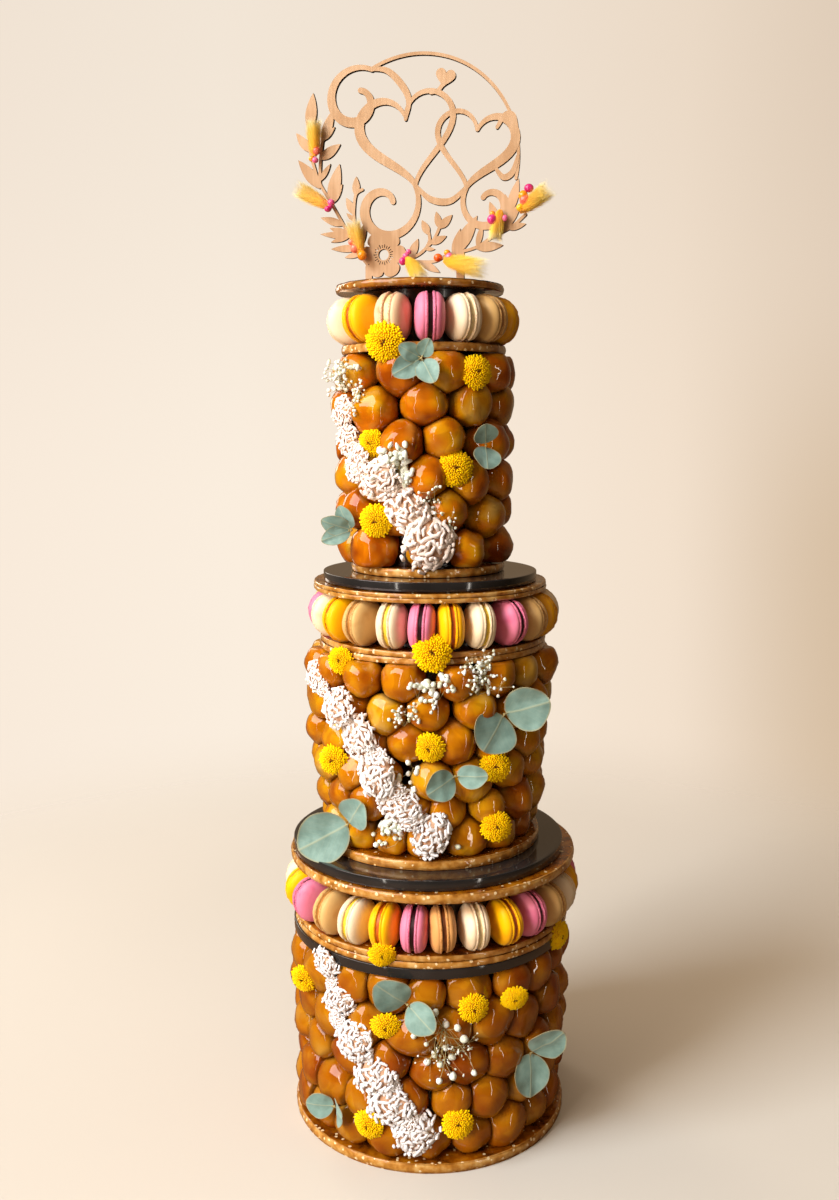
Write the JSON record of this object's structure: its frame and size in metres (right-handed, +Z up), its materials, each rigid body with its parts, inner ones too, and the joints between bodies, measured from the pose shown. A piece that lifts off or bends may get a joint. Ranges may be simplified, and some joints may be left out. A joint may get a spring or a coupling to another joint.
{
  "type": "croquembouche",
  "caption": "Tall croquembouche in storeys: glossy caramel choux walls, nougatine discs, macaron rings, acrylic plates, dried flowers and leaves, and a cut wooden wreath ornament on top.",
  "frame": {"origin": "centre of the underside of the bottom nougatine disc, on the table", "axes": "+Z up along the tower, -Y towards the decorated front, +X to the right seen from the front"},
  "size_m": [0.2832, 0.2915, 0.9852],
  "materials": {
    "caramelised_choux": "clear amber caramel over baked choux, very glossy",
    "nougatine": "baked caramel and nut brittle with broken layered edges, satin to glossy",
    "macaron_shell": "smooth matt almond shell with ruffled feet, in pastel cream, pink, orange and beige",
    "acrylic": "polished dark grey acrylic sheet",
    "poplar_plywood": "bare light plywood with dark laser-cut edges",
    "dried_flower": "matt bright yellow dried flower heads",
    "eucalyptus_leaf": "matt blue-green leaf with a waxy bloom",
    "coral_flower": "matt pinkish-white clusters of short rounded tubes",
    "hare_tail_grass": "soft fluffy dyed grass tufts with glossy berries"
  },
  "bodies": {
    "root": {"acrylic_plate_bottom": "acrylic", "acrylic_plate_middle": "acrylic", "acrylic_plate_top": "acrylic", "choux_tier_bottom": "caramelised_choux", "choux_tier_middle": "caramelised_choux", "choux_tier_top": "caramelised_choux", "coral_garland_bottom": "coral_flower", "coral_garland_middle": "coral_flower", "coral_garland_top": "coral_flower", "eucalyptus_01": "eucalyptus_leaf", "eucalyptus_02": "eucalyptus_leaf", "eucalyptus_03": "eucalyptus_leaf", "eucalyptus_04": "eucalyptus_leaf", "eucalyptus_05": "eucalyptus_leaf", "eucalyptus_06": "eucalyptus_leaf", "eucalyptus_07": "eucalyptus_leaf", "eucalyptus_08": "eucalyptus_leaf", "eucalyptus_09": "eucalyptus_leaf", "hare_tail_1": "hare_tail_grass", "hare_tail_2": "hare_tail_grass", "hare_tail_3": "hare_tail_grass", "hare_tail_4": "hare_tail_grass", "hare_tail_5": "hare_tail_grass", "hare_tail_6": "hare_tail_grass", "hare_tail_7": "hare_tail_grass", "macaron_ring_bottom": "macaron_shell", "macaron_ring_middle": "macaron_shell", "macaron_ring_top": "macaron_shell", "nougatine_base": "nougatine", "nougatine_lower_cover": "nougatine", "nougatine_lower_over": "nougatine", "nougatine_lower_under": "nougatine", "nougatine_middle_base": "nougatine", "nougatine_middle_over": "nougatine", "nougatine_middle_under": "nougatine", "nougatine_top_base": "nougatine", "nougatine_top_cover": "nougatine", "nougatine_top_under": "nougatine", "nougatine_upper_over": "nougatine", "nougatine_upper_under": "nougatine", "wooden_topper": "poplar_plywood", "yellow_flower_01": "dried_flower", "yellow_flower_02": "dried_flower", "yellow_flower_03": "dried_flower", "yellow_flower_04": "dried_flower", "yellow_flower_05": "dried_flower", "yellow_flower_06": "dried_flower", "yellow_flower_07": "dried_flower", "yellow_flower_08": "dried_flower", "yellow_flower_09": "dried_flower", "yellow_flower_10": "dried_flower", "yellow_flower_11": "dried_flower", "yellow_flower_12": "dried_flower", "yellow_flower_13": "dried_flower", "yellow_flower_14": "dried_flower", "yellow_flower_15": "dried_flower", "yellow_flower_16": "dried_flower", "yellow_flower_17": "dried_flower", "yellow_flower_18": "dried_flower", "yellow_flower_19": "dried_flower"}
  },
  "joints": []
}
